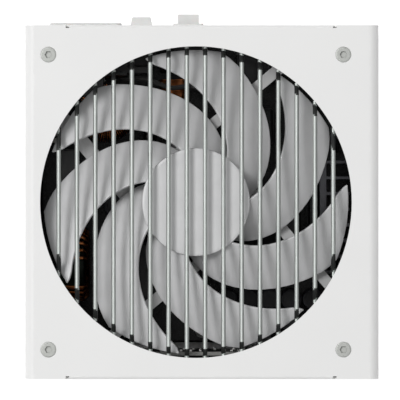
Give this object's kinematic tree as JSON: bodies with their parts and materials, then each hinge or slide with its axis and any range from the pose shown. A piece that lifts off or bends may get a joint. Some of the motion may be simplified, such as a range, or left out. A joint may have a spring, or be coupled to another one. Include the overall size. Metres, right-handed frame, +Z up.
{
  "type": "power supply unit",
  "caption": "Computer power supply: white folded steel housing, a large fan behind straight grille bars, mains inlet, rocker switch and fan mode button, output sockets.",
  "frame": {"origin": "centre of the housing's underside", "axes": "+Z up from the underside to the fan panel; +Y towards the mains panel; +X to the right when the fan panel is seen with the mains panel at the top"},
  "size_m": [0.15, 0.1561, 0.086],
  "materials": {
    "cover_paint": "satin white powder coat",
    "tray_paint": "satin white powder coat",
    "screw_steel": "nickel-plated",
    "nut_steel": "zinc-plated",
    "film_black": "polyester film",
    "fan_plastic": "moulded, light grey",
    "rotor_plastic": "moulded, light grey, satin",
    "bearing_brass": "sintered",
    "shaft_steel": "ground",
    "lamination_steel": "stamped stack",
    "magnet_black": "bonded ferrite",
    "copper_wire": "enamelled copper",
    "board_black": "black solder mask",
    "grille_nickel": "satin nickel",
    "inlet_plastic": "moulded white",
    "pin_metal": "nickel-plated brass",
    "terminal_brass": "plated",
    "switch_plastic": "moulded white",
    "rocker_plastic": "moulded white",
    "button_plastic": "moulded white",
    "switch_body_black": "moulded",
    "spring_steel": "music wire",
    "lead_black": "insulated wire",
    "lead_green": "insulated wire",
    "film_grey": "epoxy-filled box",
    "disc_blue": "dipped epoxy",
    "ferrite": "ferrite",
    "powder_iron": "coated powder iron",
    "fuse_glass": "clear tube",
    "relay_black": "moulded",
    "package_black": "epoxy moulding",
    "heatsink_dark": "black anodised",
    "can_sleeve": "shrink sleeve over aluminium",
    "can_aluminium": "bare can",
    "tape_black": "polyester tape",
    "bus_copper": "tinned copper",
    "socket_black": "moulded",
    "contact_gold": "plated",
    "plug_white": "moulded"
  },
  "bodies": {
    "housing": {"top_cover": "cover_paint", "lower_tray": "tray_paint", "cover_screws": "screw_steel", "rear_nuts": "nut_steel", "insulation_sheet": "film_black", "fan_frame": "fan_plastic", "fan_screws": "screw_steel", "fan_bearing": "bearing_brass", "stator_core": "lamination_steel", "stator_coils": "copper_wire", "fan_circuit": "board_black", "grille_ring": "grille_nickel", "grille_bars": "grille_nickel", "inlet_housing": "inlet_plastic", "inlet_pins": "pin_metal", "switch_housing": "switch_plastic", "switch_terminals": "terminal_brass", "mode_switch": "switch_body_black", "button_spring": "spring_steel", "mains_leads": "lead_black", "earth_lead": "lead_green", "main_board": "board_black", "standoffs": "terminal_brass", "board_screws": "screw_steel", "filter_board": "board_black", "film_capacitors": "film_grey", "disc_capacitors": "disc_blue", "choke_core": "ferrite", "choke_winding": "copper_wire", "line_coil": "copper_wire", "fuse": "fuse_glass", "relay": "relay_black", "bridge_rectifier": "package_black", "bridge_heatsink": "heatsink_dark", "pfc_core": "powder_iron", "pfc_winding": "copper_wire", "bulk_capacitors": "can_sleeve", "primary_heatsink": "heatsink_dark", "power_transistors": "package_black", "resonant_core": "ferrite", "resonant_winding": "copper_wire", "transformer_core": "ferrite", "transformer_winding": "tape_black", "standby_transformer": "tape_black", "rectifier_board": "board_black", "secondary_heatsink": "heatsink_dark", "output_capacitors": "can_aluminium", "control_board": "board_black", "output_busbars": "bus_copper", "socket_board": "board_black", "power_sockets": "socket_black", "socket_pins": "contact_gold", "fan_plug": "plug_white", "fan_lead": "lead_black"},
    "rotor": {"fan_rotor": "rotor_plastic", "fan_shaft": "shaft_steel", "fan_yoke": "lamination_steel", "fan_magnet": "magnet_black"},
    "rocker": {"switch_rocker": "rocker_plastic"},
    "button": {"mode_button": "button_plastic"}
  },
  "joints": [
    {"name": "fan_spin", "type": "hinge", "parent": "housing", "child": "rotor", "pos_m": [-0.0025, 0, 0.07], "axis": [0, 0, 1], "continuous": true},
    {"name": "mains_switch", "type": "hinge", "parent": "housing", "child": "rocker", "pos_m": [-0.0058, 0.074, 0.042], "axis": [1, 0, 0], "range_deg": [0, 22]},
    {"name": "mode_button_press", "type": "slide", "parent": "housing", "child": "button", "axis": [0, -1, 0], "range_m": [0, 0.002], "stiffness_N_per_m": 600, "springref_m": -0.001, "deforming": ["button_spring"]}
  ]
}
